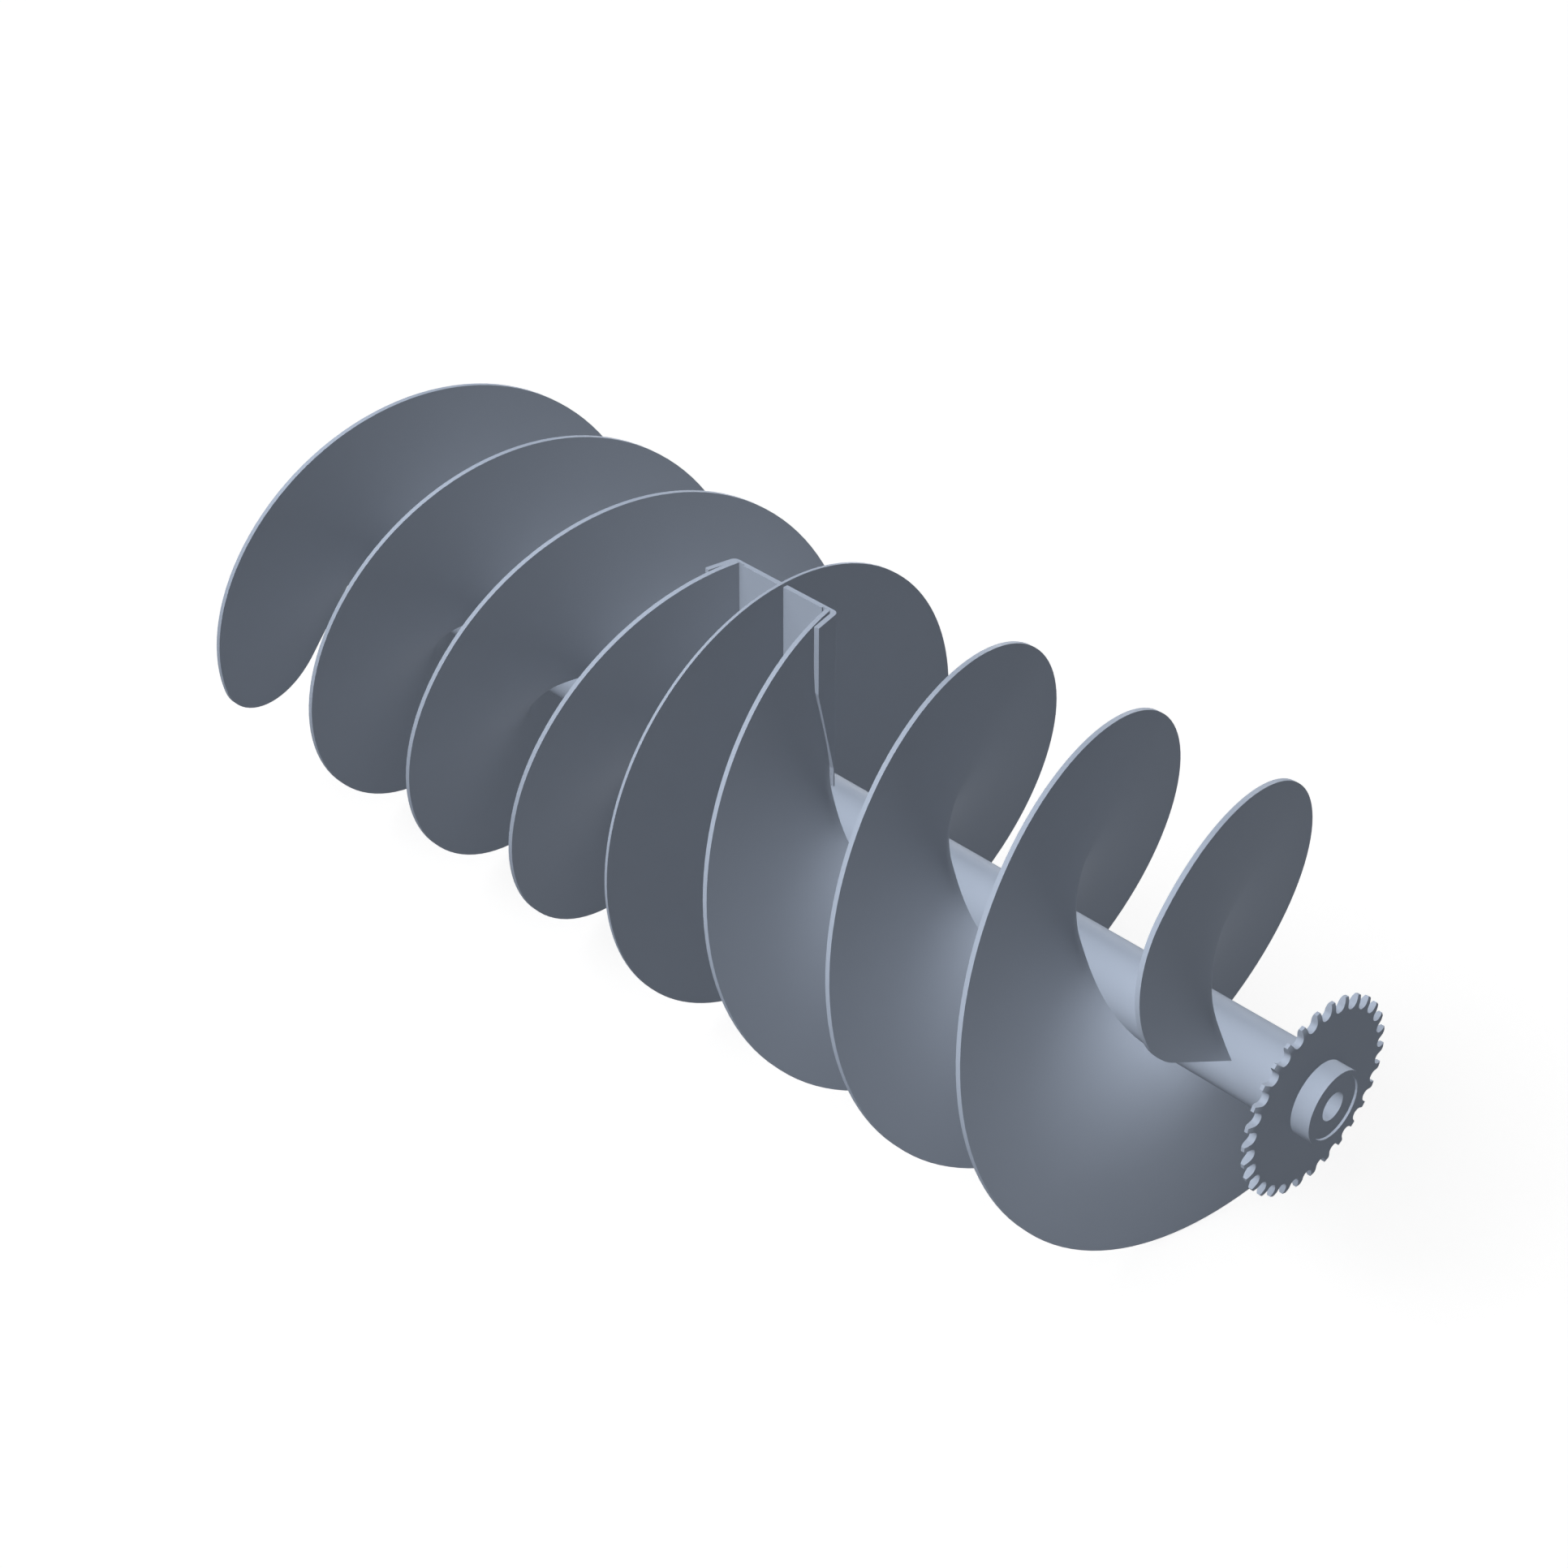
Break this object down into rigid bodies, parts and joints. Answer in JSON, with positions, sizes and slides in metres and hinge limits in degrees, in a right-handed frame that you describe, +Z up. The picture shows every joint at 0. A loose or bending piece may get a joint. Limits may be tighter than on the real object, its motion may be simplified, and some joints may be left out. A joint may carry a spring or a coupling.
{
  "type": "snow blower auger",
  "caption": "Snow blower auger: a tube with helical flights of opposite hand on either side of a centre disc with paddles, and a chain sprocket at one end.",
  "frame": {"origin": "centre of the centre disc, on the axis that the auger turns about", "axes": "+X along the tube towards the sprocket end, +Z up through the paddle that flight 1 starts from, -Y towards the side the picture shows"},
  "size_m": [0.861, 0.3032, 0.3032],
  "materials": {
    "paint": "smooth blue-grey paint, satin"
  },
  "bodies": {
    "root": {"tube": "paint", "centre_disc": "paint", "sprocket": "paint", "right_bushing": "paint", "right_flight_1": "paint", "right_paddle_1": "paint", "right_flight_2": "paint", "right_paddle_2": "paint", "left_bushing": "paint", "left_flight_1": "paint", "left_paddle_1": "paint", "left_flight_2": "paint", "left_paddle_2": "paint"}
  },
  "joints": []
}
